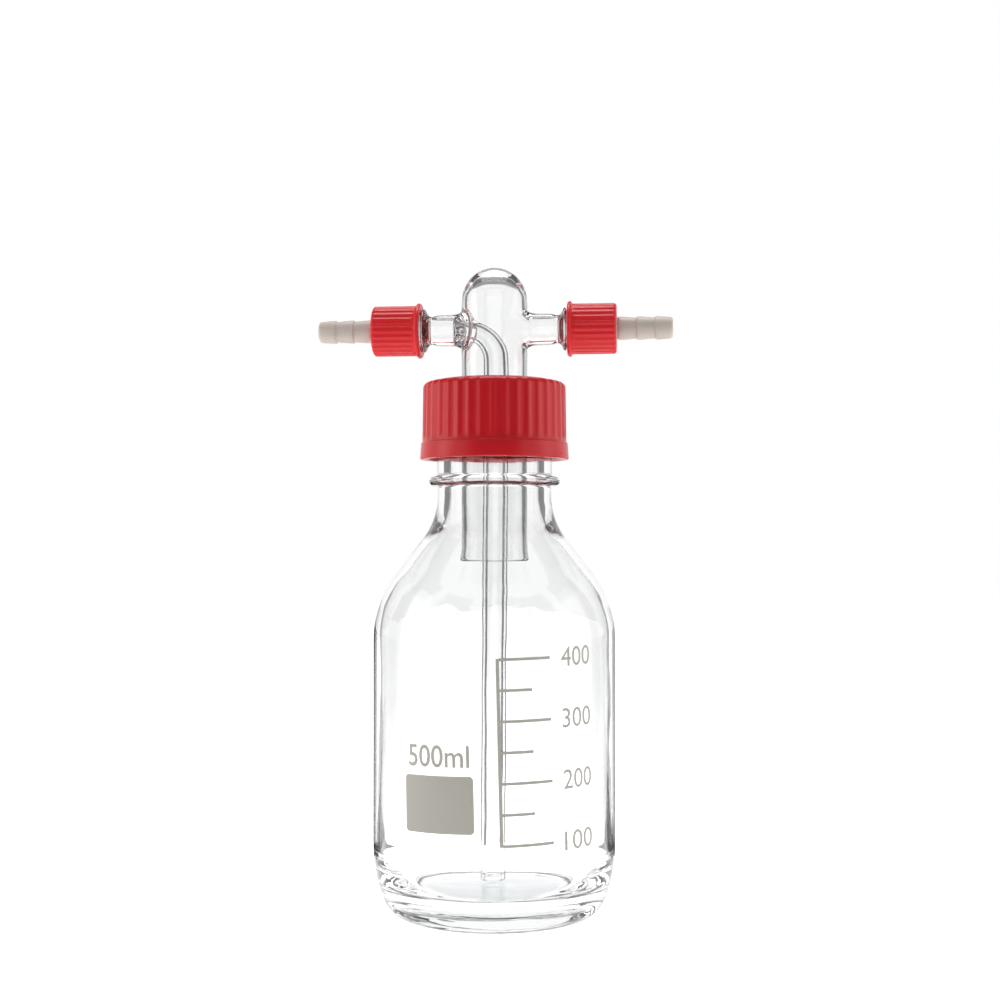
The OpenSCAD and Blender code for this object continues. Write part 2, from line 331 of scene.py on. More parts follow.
def rubber_material(name, pale, rough):
    """Soft pale ring material, matt with a fine grain."""
    gloss = (rough - 0.06, rough + 0.06)
    noises = ((0.003, 2.0), (0.001, 2.0), (0.0005, 2.0))
    return opaque(name, (pale, shaded(pale, 0.93)), 1.43, gloss, noises, (0.08, 0.0002))


def enamel_material():
    """Fired enamel of the scale: a slightly grainy warm grey."""
    ink = bpy.context.scene.bottle_finishes.enamel
    shades = (shaded(ink, 0.93), shaded(ink, 1.07))
    grain = (0.0008, 4.0, (1, 1, 1), 0.65)
    noises = (grain, (0.0015, 2.0), grain)
    return opaque("fired_enamel", shades, 1.5, (0.4, 0.55), noises, (0.12, 0.00005))


# -------- sizes and colours to change

def measure(name, description, default, unit="LENGTH", subtype="NONE"):
    return FloatProperty(
        name=name, description=description, default=default, unit=unit, subtype=subtype
    )


def number(name, description, default, least, most, kind=IntProperty):
    return kind(name=name, description=description, default=default, min=least, max=most)


def colour(name, description, default):
    return FloatVectorProperty(name=name, description=description, default=default, subtype="COLOR")


class BottleSizes(bpy.types.PropertyGroup):
    wall: measure("Wall", "Thickness of the body's glass", 0.0024)
    neck_bore: measure("Neck bore", "Inside diameter of the neck", 0.032)
    waviness: measure("Waviness", "How far the inside of the blown wall wanders", 0.00012)
    steps: number("Steps", "Facets round the bottle", 176, 48, 256)


class HeadSizes(bpy.types.PropertyGroup):
    tube: measure("Upright tube", "Outside diameter of the head's tube", 0.0235)
    wall: measure("Tube wall", "Thickness of the upright tube", 0.0016)
    arm: measure("Side arm", "Outside diameter of a side arm", 0.0112)
    arm_bore: measure("Side arm bore", "Bore of a side arm", 0.0082)
    dip: measure("Bubbling tube", "Outside diameter of the bubbling tube", 0.009)
    dip_bore: measure("Bubbling tube bore", "Bore of the bubbling tube", 0.0056)
    lean: measure("Lean", "How far the bubbling tube's ends stray from the axis", 0.00068)


class CapSizes(bpy.types.PropertyGroup):
    big_flutes: number("Large cap flutes", "Grip flutes round the large cap", 38, 12, 60)
    small_flutes: number("Small cap flutes", "Grip flutes round a small cap", 26, 10, 40)
    big_depth: measure("Large flute depth", "Depth of a flute of the large cap", 0.00045)
    small_depth: measure("Small flute depth", "Depth of a flute of a small cap", 0.0003)


class ScaleSizes(bpy.types.PropertyGroup):
    lowest: measure("Lowest mark", "Height of the 100 ml mark", 0.0303)
    spacing: measure("Spacing", "Rise of the scale for each 100 ml", 0.0204)
    figure: measure("Figure height", "Height of the scale's numerals", 0.0064)
    tilt: measure("Tilt", "Turn of the print out of true", math.radians(1.4), "ROTATION", "ANGLE")


class Finishes(bpy.types.PropertyGroup):
    cap_red: colour("Cap red", "Colour of the large screw cap", (0.60, 0.013, 0.018))
    small_cap_red: colour("Small cap red", "Colour of the two small screw caps", (0.78, 0.024, 0.03))
    connector_white: colour("Connector white", "Colour of the hose connectors", (0.58, 0.52, 0.47))
    enamel: colour("Enamel", "Colour of the printed scale", (0.45, 0.43, 0.38))
    glass: colour("Glass", "Tint of the glass seen face on", (0.99, 0.993, 0.993))
    # painted shade: the dark colour that the glass's outer skin takes on at its outline
    glass_outline_shade: colour("Glass edge", "Tint of the glass at its outline", (0.17, 0.185, 0.195))


class StudioSettings(bpy.types.PropertyGroup):
    distance: measure("Camera distance", "Camera to the bottle's axis", 0.54)
    height: measure("Camera height", "Camera above the floor", 0.1317)
    turn: measure(
        "Camera turn", "How far the camera stands round to the right of the front",
        math.radians(6), "ROTATION", "ANGLE",
    )
    lens: number("Lens", "Focal length in millimetres", 54.3, 20, 200, FloatProperty)
    sky: number("Room light", "Brightness of the white room", 1.0, 0, 4, FloatProperty)


# -------- bottle

SHOULDER_Z = 96.0
SHOULDER_TILT = 38.0
SHOULDER_R = 38.0
FOOT_OUT = 34.5
FOOT_IN = 32.0
HEEL_H = 25.0
PUSH_R = 23.0
PUSH_H = 1.8
FLOOR_Z = 5.2
FLOOR_R = 24.0
INNER_HEEL_H = 19.0
NECK_LOW_R = 20.3
NECK_SWEEP = 26.0
BORE_SWEEP = 22.0
BEAD_Z = 151.9
BEAD_R = 23.4
BEAD_HALF = 1.7
GROOVE_R = 19.4
CORE_R = 20.6
RIM_ROUND = 1.6
NECK_THREAD_R = 22.5


def sweep_height(shoulder, neck, sweep):
    """Height of the centre of the curve that leads the shoulder's cone into an upright neck."""
    lean = math.radians(SHOULDER_TILT)
    return (
        SHOULDER_Z
        + shoulder * math.sin(lean)
        + (BODY_R - SHOULDER_R + shoulder * math.cos(lean) - neck) / math.tan(lean)
        + sweep * math.tan(lean / 2)
    )


def bottle_outline(wall, bore):
    """(radius, height) from the middle of the underside over the rim to the middle of the floor."""
    shoulder_centre = (BODY_R - SHOULDER_R, SHOULDER_Z)
    neck_centre = (NECK_LOW_R + NECK_SWEEP, sweep_height(SHOULDER_R, NECK_LOW_R, NECK_SWEEP))
    bore_centre = (bore + BORE_SWEEP, sweep_height(SHOULDER_R - wall, bore, BORE_SWEEP))
    heel_centre = (FLOOR_R, FLOOR_Z + INNER_HEEL_H)
    outside = (
        [(0, PUSH_H)]
        + oval((PUSH_R, 0), (FOOT_IN - PUSH_R, PUSH_H), 90, 0, 10)
        + [(33.2, 0)]
        + oval((FOOT_OUT, HEEL_H), (BODY_R - FOOT_OUT, HEEL_H), 270, 360, 28)
        + arc(shoulder_centre, SHOULDER_R, 0, SHOULDER_TILT, 14)
        + arc(neck_centre, NECK_SWEEP, 180 + SHOULDER_TILT, 180, 12)
        + arc((NECK_LOW_R - 0.7, 149.3), 0.7, 0, 60, 3)
        + [(GROOVE_R + 0.05, 150.15)]
        + arc((BEAD_R - BEAD_HALF, BEAD_Z), BEAD_HALF, -90, 90, 14)
        + [(CORE_R + 0.35, BEAD_Z + BEAD_HALF + 0.12), (CORE_R, BEAD_Z + BEAD_HALF + 0.6)]
        + arc((CORE_R - RIM_ROUND, RIM_Z - RIM_ROUND), RIM_ROUND, 0, 90, 8)
    )
    inside = (
        arc((bore + 1, RIM_Z - 1), 1, 90, 180, 6)
        + arc(bore_centre, BORE_SWEEP, 180, 180 + SHOULDER_TILT, 14)
        + arc(shoulder_centre, SHOULDER_R - wall, SHOULDER_TILT, 0, 14)
        + oval(heel_centre, (BODY_R - wall - FLOOR_R, INNER_HEEL_H), 360, 270, 28)
        + [(0, FLOOR_Z)]
    )
    return spaced(outside, 3.0), spaced(inside, 3.0)


class WASHBOTTLE_OT_bottle(bpy.types.Operator):
    """Make the blown bottle with its screw neck"""

    bl_idname = "washbottle.bottle"
    bl_label = "Make Bottle"

    def execute(self, context):
        sizes = context.scene.bottle_sizes
        wall = sizes.wall / MM
        bore = sizes.neck_bore / MM / 2
        outside, inside = bottle_outline(wall, bore)
        neck = [point for point in outside if point[1] > BEAD_Z + BEAD_HALF]
        outside = outside[: -len(neck)] + spaced(neck, 0.45)
        bm = turned(outside + inside, sizes.steps, closed=False, outer=len(outside))
        for vert in bm.verts:
            radius, angle = polar(vert)
            height = vert.co.z
            limit = bore + 0.5 if height > SHOULDER_Z + 20 else BODY_R - wall + 0.05
            within = radius < limit and FLOOR_Z - 0.01 < height
            if within and height < RIM_Z - 4:
                # the mould shapes the outside, and the inside is left a little uneven
                ripple = noise.noise(Vector((vert.co.x * 0.06, vert.co.y * 0.06, height * 0.035)))
                ripple += 0.4 * noise.noise(Vector((vert.co.x * 0.17, vert.co.y * 0.17, height * 0.06)))
                fade = eased(radius / 12) * eased((RIM_Z - 4 - height) / 10)
                set_polar(vert, radius + ripple * sizes.waviness / MM * fade, angle)
                if radius < FLOOR_R + 8:
                    vert.co.z += 3 * ripple * sizes.waviness / MM * (1 - eased((radius - 20) / 12))
            elif radius > bore + 3 and BEAD_Z + BEAD_HALF + 1 < height < RIM_Z - 0.5:
                rise = thread_rise(angle, height, *NECK_THREAD)
                set_polar(vert, radius + rise * (NECK_THREAD_R - CORE_R), angle)
        # clear glass whose painted outline shade ramps in between facing 0.71 and 0.84, with ripples of
        # strength 0.10
        glass = glass_material("clear_bottle_glass", 0.71, 0.84, 0.10)
        add_piece(bm, "blown_bottle", glass, "vessel", ["bottle"])
        return {"FINISHED"}


# -------- blown head

SKIRT_Z = 123.0
FLANGE_R = 21.0
FLANGE_H = 3.0
BEND_R = 10.5
LEAN_FROM_Z = 100
# Half the height of the patch of cage that an arm replaces, and the radius of the hole it leaves
OUTER_OPENING = (6.8, 7.9)
INNER_OPENING = (5.6, 6.0)
AROUND = 16
# A ring of the cage stands this much outside the round surface that subdivision makes of it
CAGE = 6 / (4 + 2 * math.cos(TURN / AROUND))
ARM_THREAD_R = 7.0
ARM_CORE_R = 6.1


def ring(centre, across, up, radius):
    """The places of one round of cage points, from two directions across it."""
    reach = radius * CAGE
    return [
        centre + reach * (math.cos(TURN * i / AROUND) * across + math.sin(TURN * i / AROUND) * up)
        for i in range(AROUND)
    ]


def level_rings(rows):
    """Rings round the upright axis, from the radius and the height of each."""
    return [ring(height * Z_AXIS, X_AXIS, Y_AXIS, radius) for radius, height in rows]


def arm_rings(side, rows):
    """Rings round an arm's axis, from how far out and how wide each is."""
    return [
        ring(Vector((side * reach, 0, ARM_Z)), Y_AXIS, Z_AXIS, radius) for reach, radius in rows
    ]


def loop_edges(bm, loop):
    return [bm.edges.get(pair) for pair in zip(loop, loop[1:] + loop[:1])]


def join(bm, first, second):
    """Closes the gap between two loops of points with faces."""
    bmesh.ops.bridge_loops(bm, edges=loop_edges(bm, first) + loop_edges(bm, second))


def grow(bm, loop, rings, outer):
    """Draws a loop of points out through one ring after another, on the outer skin or not."""
    mark = bm.verts.layers.float[OUTLINE_SHADE_MASK]
    for places in rings:
        made = bmesh.ops.extrude_edge_only(bm, edges=loop_edges(bm, loop))["geom"]
        fresh = {item for item in made if isinstance(item, bmesh.types.BMVert)}
        loop = [
            next(edge.other_vert(vert) for edge in vert.link_edges if edge.other_vert(vert) in fresh)
            for vert in loop
        ]
        # each new point takes its place and the mask of the painted outline shade, full on the outer
        # skin and none on the inner
        for vert, place in zip(loop, places):
            vert.co = place
            vert[mark] = float(outer)
    return loop


CROWN_STEP = 19.0


def crown(bm, centre_z, radius, rise, outer):
    """The top of a dome, from a grid drawn out round. Gives its lowest loop of points."""
    mark = bm.verts.layers.float[OUTLINE_SHADE_MASK]
    made = bmesh.ops.create_grid(bm, x_segments=4, y_segments=4, size=1)["verts"]
    edge = []
    # every point of the crown takes the mask of the painted outline shade
    for vert in made:
        vert[mark] = float(outer)
        u, v = vert.co.x, vert.co.y
        level = max(abs(u), abs(v))
        if level < 0.01:
            vert.co = (0, 0, centre_z + rise)
            continue
        if abs(u) >= abs(v):
            angle = math.pi / 4 * v / u + (math.pi if u < 0 else 0)
        else:
            angle = math.pi / 2 - math.pi / 4 * u / v + (math.pi if v < 0 else 0)
        polar_angle = math.radians(CROWN_STEP * 2 * level)
        flat = radius * math.sin(polar_angle)
        height = centre_z + rise * math.cos(polar_angle)
        vert.co = (flat * math.cos(angle), flat * math.sin(angle), height)
        if level > 0.9:
            edge.append((angle % TURN, vert))
    return [vert for angle, vert in sorted(edge, key=lambda item: item[0])]


def open_for_arm(bm, side, tube_r, opening):
    """Opens a four by four patch of a tube's cage into a round hole, and gives its loop."""
    reach, hole_r = opening

    def faces_arm(face):
        middle = face.calc_center_median()
        return (
            abs(math.atan2(middle.y, side * middle.x)) < math.pi / 4
            and abs(middle.z - ARM_Z) < reach
            and abs(middle.xy.length - tube_r) < 0.7
        )

    patch = {face for face in bm.faces if faces_arm(face)}
    rim = [edge for edge in bm.edges if len(patch.intersection(edge.link_faces)) == 1]
    loop = sorted(
        {vert for edge in rim for vert in edge.verts},
        key=lambda vert: math.atan2(vert.co.z - ARM_Z, vert.co.y) % TURN,
    )
    bmesh.ops.delete(bm, geom=list(patch), context="FACES")
    for step, vert in enumerate(loop):
        turn = TURN * step / AROUND
        y, z = hole_r * math.cos(turn), hole_r * math.sin(turn)
        vert.co = (side * math.sqrt((tube_r * CAGE) ** 2 - y * y), y, ARM_Z + z)
    return loop


def upright_rows(radius, rise, dome_z, opening, heights):
    """(radius, height) of the rings of an upright tube from the crown down past an arm's opening."""
    rows = []
    for degrees in (57, 76):
        turn = math.radians(degrees)
        rows.append((radius * math.sin(turn) * 1.01, dome_z + rise * math.cos(turn)))
    beside_arm = [ARM_Z + opening[0] * step for step in (1, 0.5, 0, -0.5, -1)]
    return rows + [(radius, height) for height in [dome_z - 0.3] + beside_arm + heights]


def bend_rings(radius_at, lean):
    """Rings of the bubbling tube from the arm's wall round the bend, with a radius for each angle."""
    rings = []
    for degrees in (16, 25, 38, 54, 72, 90):
        turn = math.radians(degrees)
        drift = lean * math.sin(turn) ** 2
        centre = Vector(
            (-BEND_R + BEND_R * math.sin(turn) + drift, 0, ARM_Z - BEND_R + BEND_R * math.cos(turn))
        )
        outward = Vector((math.sin(turn), 0, math.cos(turn)))
        rings.append(ring(centre, Y_AXIS, outward, radius_at(degrees)))
    return rings


# (reach, radius) along an arm: necked in, collar, threaded end
ARM_END = (
    (20.6, 5.6), (22.1, 5.02), (22.9, 4.98), (23.8, 5.35), (24.55, 6.6), (24.85, 7.6), (25.3, 7.85),
    (25.75, 7.6), (26.0, 6.25),
) + tuple((27.0 + 1.15 * i, ARM_CORE_R) for i in range(10)) + ((38.1, 6.1), (ARM_REACH + 0.05, 5.7))


def bubbling_tube(bm, sizes, bore_r, arm):
    """Grows the tube from the left wall round its bend, down and back up inside to the arm's bore."""
    dip_r = sizes.dip / MM / 2
    dip_bore = sizes.dip_bore / MM / 2
    lean = sizes.lean / MM
    low_z = HEAD_LOW.z

    def outside(degrees):
        return dip_r - 0.95 * (1 - eased((degrees - 22) / 50))

    def leaning(radius, height):
        share = (height - LEAN_FROM_Z) / (ARM_Z - BEND_R - LEAN_FROM_Z)
        return ring(Vector((lean * share, 0, height)), Y_AXIS, X_AXIS, radius)

    heights = (186, 165, 140, 115, 90, 65, 40, 20, 11, 8.4)
    tube = open_for_arm(bm, LEFT, bore_r, INNER_OPENING)
    skin = bend_rings(outside, lean)
    skin += [leaning(dip_r, height) for height in heights]
    skin += [leaning(dip_r - 0.06, low_z + 0.35), leaning(dip_r - 0.45, low_z - 0.05)]
    tube = grow(bm, tube, skin, True)
    places = [leaning(dip_bore + 0.45, low_z - 0.05), leaning(dip_bore + 0.06, low_z + 0.35)]
    places += [leaning(dip_bore, height) for height in reversed(heights)]
    places += reversed(bend_rings(lambda turn: dip_bore * outside(turn) / dip_r, lean))
    places += arm_rings(LEFT, ((10.6, 2.3), (12.0, 2.7), (13.2, 3.6), (14.6, 4.1)))
    tube = grow(bm, tube, places, False)
    join(bm, tube, arm)


def cut_arm_threads(bm):
    """Raises the thread on each arm's end."""
    for vert in bm.verts:
        side = LEFT if vert.co.x < 0 else RIGHT
        reach = side * vert.co.x
        off = Vector((vert.co.y, vert.co.z - ARM_Z))
        if reach < 26.5 or off.length < ARM_CORE_R - 0.5:
            continue
        angle = math.atan2(vert.co.y, -side * (vert.co.z - ARM_Z))
        rise = thread_rise(angle, reach, *ARM_THREAD)
        off *= 1 + rise * (ARM_THREAD_R - ARM_CORE_R) / off.length
        vert.co.y, vert.co.z = off.x, ARM_Z + off.y


def smooth_copy(bm, levels):
    """The mesh that a Subdivision Surface makes of a cage."""
    cage = bpy.data.meshes.new("cage")
    bmesh.ops.recalc_face_normals(bm, faces=bm.faces)
    bm.to_mesh(cage)
    bm.free()
    holder = bpy.data.objects.new("cage", cage)
    bpy.context.scene.collection.objects.link(holder)
    smooth = holder.modifiers.new("smooth", "SUBSURF")
    smooth.levels = smooth.render_levels = levels
    bpy.context.view_layer.update()
    depsgraph = bpy.context.evaluated_depsgraph_get()
    mesh = bpy.data.meshes.new_from_object(holder.evaluated_get(depsgraph))
    bpy.data.objects.remove(holder)
    bpy.data.meshes.remove(cage)
    return mesh


class WASHBOTTLE_OT_head(bpy.types.Operator):
    """Make the one-piece blown head with its side arms and bubbling tube"""

    bl_idname = "washbottle.head"
    bl_label = "Make Blown Head"

    def execute(self, context):
        sizes = context.scene.head_sizes
        tube_r = sizes.tube / MM / 2
        bore_r = tube_r - sizes.wall / MM
        arm_r = sizes.arm / MM / 2
        arm_bore = sizes.arm_bore / MM / 2
        dome_z = HEAD_HIGH.z - tube_r
        flange_low = LINER_Z - FLANGE_H

        bm = bmesh.new()
        # layer for the mask of the painted outline shade on the head's glass
        bm.verts.layers.float.new(OUTLINE_SHADE_MASK)
        # outer shell, from the crown down to the skirt's end
        half_flange = (
            (tube_r + 0.15, 0.75), (tube_r + 0.8, 0.1), (tube_r + 2.6, 0),
            (FLANGE_R - 1.6, 0), (FLANGE_R - 0.25, 0), (FLANGE_R, -0.35),
        )
        rows = upright_rows(tube_r, tube_r, dome_z, OUTER_OPENING, [195.6, 190.5, LINER_Z + 2.6])
        rows += [(radius, LINER_Z + off) for radius, off in half_flange]
        rows += [(radius, flange_low - off) for radius, off in reversed(half_flange)]
        rows += [(tube_r, height) for height in (flange_low - 2.6, 165, 148, 134, SKIRT_Z + 5)]
        rows += [(tube_r + 0.25, SKIRT_Z + 2.4), (tube_r + 0.62, SKIRT_Z + 0.5)]
        rows += [(tube_r + 0.3, SKIRT_Z - 0.12), (bore_r + 0.75, SKIRT_Z - 0.12)]
        outer = crown(bm, dome_z, tube_r * 1.035, tube_r * 1.025, True)
        outer = grow(bm, outer, level_rings(rows), True)
        # inner shell, from under the crown down to meet it
        rise = bore_r - 1.8
        heights = [196.5, 186, 176, 165, 148, 134, SKIRT_Z + 5]
        rows = upright_rows(bore_r, rise, dome_z, INNER_OPENING, heights)
        rows += [(bore_r + 0.25, SKIRT_Z + 2.4), (bore_r + 0.5, SKIRT_Z + 0.5)]
        inner = crown(bm, dome_z, bore_r * 1.035, rise * 1.03, False)
        inner = grow(bm, inner, level_rings(rows), False)
        join(bm, outer, inner)

        for side in (LEFT, RIGHT):
            arm = open_for_arm(bm, side, tube_r, OUTER_OPENING)
            rows = ((11.6, 6.75), (13.3, 5.85), (15.4, arm_r), (18.2, arm_r)) + ARM_END
            arm = grow(bm, arm, arm_rings(side, rows), True)
            rows = [(ARM_REACH + 0.05, arm_bore + 0.7)]
            rows += [(reach, arm_bore) for reach in (38.0, 36.5, 30, 24, 18)]
            arm = grow(bm, arm, arm_rings(side, rows), False)
            if side == RIGHT:
                mouth = open_for_arm(bm, side, bore_r, INNER_OPENING)
                rows = ((10.6, 4.7), (12.4, 4.2), (14.6, arm_bore))
                mouth = grow(bm, mouth, arm_rings(side, rows), False)
                join(bm, arm, mouth)
            else:
                bubbling_tube(bm, sizes, bore_r, arm)
        mesh = smooth_copy(bm, 2)
        bm = bmesh.new()
        bm.from_mesh(mesh)
        bpy.data.meshes.remove(mesh)
        cut_arm_threads(bm)
        # clear glass whose painted outline shade ramps in between facing 0.50 and 0.70, with ripples of
        # strength 0.05
        glass = glass_material("clear_head_glass", 0.50, 0.70, 0.05)
        add_piece(bm, "blown_head", glass, "vessel", ["gas_head"])
        return {"FINISHED"}


# -------- screw caps

CAP_BORE_R = 22.75
CAP_RIDGE = 1.6
CAP_HOLE_R = 17.0
CAP_R = 25.8
CAP_DRAFT = 0.25
CAP_ROUND = 2.2
CAP_CROWN = 0.7
BAND_H = 6.0
BAND_R = 26.6


def flute_shape(angle, flutes, share):
    """How deep a grip flute is at an angle: 1 in its middle, 0 on the rib between two flutes."""
    across = (angle * flutes / TURN) % 1 - 0.5
    return max(0.0, 1 - (across / (share / 2)) ** 2)


def cut_cap(bm, flutes, share, depth, starts, bore_r, ridge, thread):
    """Cuts the grip flutes into a cap's side and raises the thread in its bore.

    starts: the radius and the height where the flutes start, each with what they deepen over.
    """
    (start_r, over_r), (start_z, over_z) = starts
    for vert in bm.verts:
        radius, angle = polar(vert)
        edge = eased((radius - start_r) / over_r) * eased((vert.co.z - start_z) / over_z)
        if edge:
            set_polar(vert, radius - depth * edge * flute_shape(angle, flutes, share), angle)
        elif abs(radius - bore_r) < 0.1:
            set_polar(vert, radius - ridge * thread_rise(angle, vert.co.z, *thread), angle)


class WASHBOTTLE_OT_large_cap(bpy.types.Operator):
    """Make the large open-topped screw cap with its grip flutes and thread"""

    bl_idname = "washbottle.large_cap"
    bl_label = "Make Large Cap"

    def execute(self, context):
        sizes = context.scene.cap_sizes
        low, top = CAP_LOW.z, CAP_HIGH.z
        step = low + BAND_H
        plate = LINER_Z + 1
        body = [(CAP_R, step + 0.35), (CAP_R - CAP_DRAFT, top - CAP_ROUND)]
        outline = (
            [(CAP_BORE_R + 1.0, low + 0.05), (CAP_BORE_R + 1.4, low)]
            + arc((BAND_R - 0.45, low + 0.45), 0.45, 270, 360, 5)
            + arc((BAND_R - 0.75, step - 0.42), 0.42, 10, 80, 5)
            + [(CAP_R + 0.12, step + 0.03)]
            + spaced(body, 0.8)
            + arc((CAP_R - CAP_DRAFT - CAP_ROUND, top - CAP_ROUND), CAP_ROUND, 5, 78, 9)
            + arc((CAP_HOLE_R + 2.6, top + CAP_CROWN - 6), 6, 50, 96, 6)
            + arc((CAP_HOLE_R + 0.4, top + CAP_CROWN - 0.45), 0.4, 100, 180, 4)
            + [(CAP_HOLE_R, plate + 0.2), (CAP_HOLE_R + 0.2, plate)]
            + [(CAP_BORE_R - 0.5, plate), (CAP_BORE_R, plate - 0.5)]
            + spaced([(CAP_BORE_R, plate - 1), (CAP_BORE_R, low + 1.2)], 0.42)
        )
        bm = turned(outline, sizes.big_flutes * 10)
        starts = ((CAP_R - 2.4, 1.9), (step + 0.5, 1.3))
        depth = sizes.big_depth / MM
        cut_cap(bm, sizes.big_flutes, 0.84, depth, starts, CAP_BORE_R, CAP_RIDGE, CAP_THREAD)
        red = red_plastic("deep_red_plastic", context.scene.bottle_finishes.cap_red)
        add_piece(bm, "large_cap", red, "large_cap", ["screw_cap"], 38)
        return {"FINISHED"}


SMALL_R = 9.05
SMALL_LIP_R = 9.95
SMALL_LIP = 1.6
SMALL_BORE_R = 7.15
SMALL_RIDGE = 0.7
SMALL_PLATE = 1.8
JOURNAL_R = 4.4
SMALL_HOLE_R = 4.48


class WASHBOTTLE_OT_small_caps(bpy.types.Operator):
    """Make the two small screw caps that hold the hose connectors"""

    bl_idname = "washbottle.small_caps"
    bl_label = "Make Small Caps"

    def execute(self, context):
        sizes = context.scene.cap_sizes
        start, stop = SMALL_LOW.x, SMALL_HIGH.x
        plate = stop - SMALL_PLATE
        red = red_plastic("light_red_plastic", context.scene.bottle_finishes.small_cap_red)
        outline = (
            [(SMALL_BORE_R + 0.5, start + 0.05), (SMALL_BORE_R + 0.9, start)]
            + arc((SMALL_LIP_R - SMALL_LIP / 2, start + SMALL_LIP / 2), SMALL_LIP / 2, 270, 415, 12)
            + [(SMALL_R + 0.08, start + SMALL_LIP + 0.05)]
            + spaced([(SMALL_R, start + SMALL_LIP + 0.3), (SMALL_R, stop - 1.2)], 0.6)
            + arc((SMALL_R - 1.2, stop - 1.2), 1.2, 6, 90, 8)
            + [(SMALL_R - 2.2, stop), (SMALL_HOLE_R + 0.35, stop)]
            + arc((SMALL_HOLE_R + 0.2, stop - 0.2), 0.2, 110, 180, 3)
            + [(SMALL_HOLE_R, plate + 0.1), (SMALL_HOLE_R + 0.1, plate)]
            + [(SMALL_BORE_R - 0.4, plate), (SMALL_BORE_R, plate - 0.4)]
            + spaced([(SMALL_BORE_R, plate - 0.7), (SMALL_BORE_R, start + 0.8)], 0.3)
        )
        starts = ((SMALL_R - 1.5, 1.2), (start + SMALL_LIP + 0.3, 0.9))
        depth = sizes.small_depth / MM
        for side, word in SIDE_NAMES.items():
            bm = turned(outline, sizes.small_flutes * 8)
            cut_cap(
                bm, sizes.small_flutes, 0.7, depth, starts, SMALL_BORE_R, SMALL_RIDGE, SMALL_THREAD
            )
            lay_along_arm(bm, side)
            add_piece(bm, word + "_small_cap", red, word + "_cap", [word + "_screw_cap"], 38)
        return {"FINISHED"}


# -------- hose connectors and rings

BARB_COUNT = 3
BARB_ROOT_R = 3.75
BARB_CREST_R = 4.15
CONNECTOR_BORE_R = 2.5
CONNECTOR_STEPS = 72


class WASHBOTTLE_OT_connectors(bpy.types.Operator):
    """Make the two barbed hose connectors"""

    bl_idname = "washbottle.connectors"
    bl_label = "Make Hose Connectors"

    def execute(self, context):
        start, tip = HOSE_LOW.x, HOSE_HIGH.x
        plate = SMALL_HIGH.x - SMALL_PLATE
        barbs_start = SMALL_HIGH.x + 0.4
        pitch = (tip - barbs_start) / BARB_COUNT
        bore = CONNECTOR_BORE_R
        plastic = cloudy_plastic()
        barbs = []
        for index in range(BARB_COUNT):
            foot = barbs_start + index * pitch
            barbs += [(BARB_ROOT_R + 0.02, foot), (BARB_ROOT_R + 0.1, foot + 0.08)]
            barbs += arc((BARB_CREST_R - 0.22, foot + 0.5), 0.22, 280, 360, 4)
            barbs += [(BARB_CREST_R, foot + 1.1), (BARB_CREST_R, foot + 1.5)]
            barbs += [(BARB_CREST_R - 0.05, foot + 2.1)]
            barbs += [(BARB_ROOT_R + 0.13, foot + pitch - 1.5), (BARB_ROOT_R, foot + pitch - 0.25)]
        outline = (
            [(bore + 0.2, start), (5.7, start), (6, start + 0.3), (6, plate - 0.3), (5.8, plate - 0.1)]
            + [(JOURNAL_R + 0.1, plate - 0.1), (JOURNAL_R, plate), (JOURNAL_R, SMALL_HIGH.x + 0.05)]
            + [(JOURNAL_R - 0.15, SMALL_HIGH.x + 0.2), (BARB_ROOT_R, SMALL_HIGH.x + 0.25)]
            + barbs[:-1]
            + arc((BARB_ROOT_R - 0.8, tip - 0.8), 0.8, 5, 90, 8)
            + arc((bore + 0.25, tip - 0.25), 0.25, 90, 180, 4)
            + spaced([(bore, tip - 1), (bore, start + 0.2)], 3)
        )
        for side, word in SIDE_NAMES.items():
            bm = turned(outline, CONNECTOR_STEPS)
            lay_along_arm(bm, side)
            replaced = [word + "_hose_connector"]
            add_piece(bm, word + "_connector", plastic, word + "_nozzle", replaced, 32)
        return {"FINISHED"}


class WASHBOTTLE_OT_rings(bpy.types.Operator):
    """Finish the seals and the slip ring, which keep their solids' shapes"""

    bl_idname = "washbottle.rings"
    bl_label = "Finish Seals and Slip Ring"

    def execute(self, context):
        silicone = rubber_material("pale_silicone", (0.80, 0.78, 0.73), 0.55)
        slippery = rubber_material("white_slip_ring", (0.86, 0.86, 0.84), 0.32)
        materials = dict.fromkeys(("neck_seal", "left_seal", "right_seal"), silicone)
        for node, material in (materials | {"cap_liner_ring": slippery}).items():
            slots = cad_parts[node].material_slots
            if not slots:
                raise RuntimeError(node + " has no material slot")
            for place in slots:
                place.material = material
        return {"FINISHED"}


# -------- printed scale

PRINT_GAP = 0.012
PRINT_THICK = 0.035
PRINT_MIDDLE_Z = 60
SCALE_X = 5.6
RAIL_WIDE = 1.15
LONG_TICK = 18.6
SHORT_TICK = 12.0
TICK_WIDE = 0.95
FIGURE_X = 28.6
FIGURE_WIDE = 12.7
FIELD = (-28.5, 34.3, -2.7, 53.3)
FIELD_ROUND = 1.4
VOLUME_X = -26.9
VOLUME_Z = 56.3
VOLUME_WIDE = 23.0
VOLUME_H = 7.2
FIGURE_WEIGHT = 0.0
VOLUME_WEIGHT = 0.010


def flat_panel(bm, left, low, right, high, corner=0.0):
    """A flat rectangle in the X-Z plane, with round corners if asked."""
    corners = [(left, low), (right, low), (right, high), (left, high)]
    verts = [bm.verts.new((x, 0, z)) for x, z in corners]
    bm.faces.new(verts)
    if corner:
        bmesh.ops.bevel(
            bm, geom=verts, offset=corner, affect="VERTICES", segments=6, profile=0.5, material=-1
        )


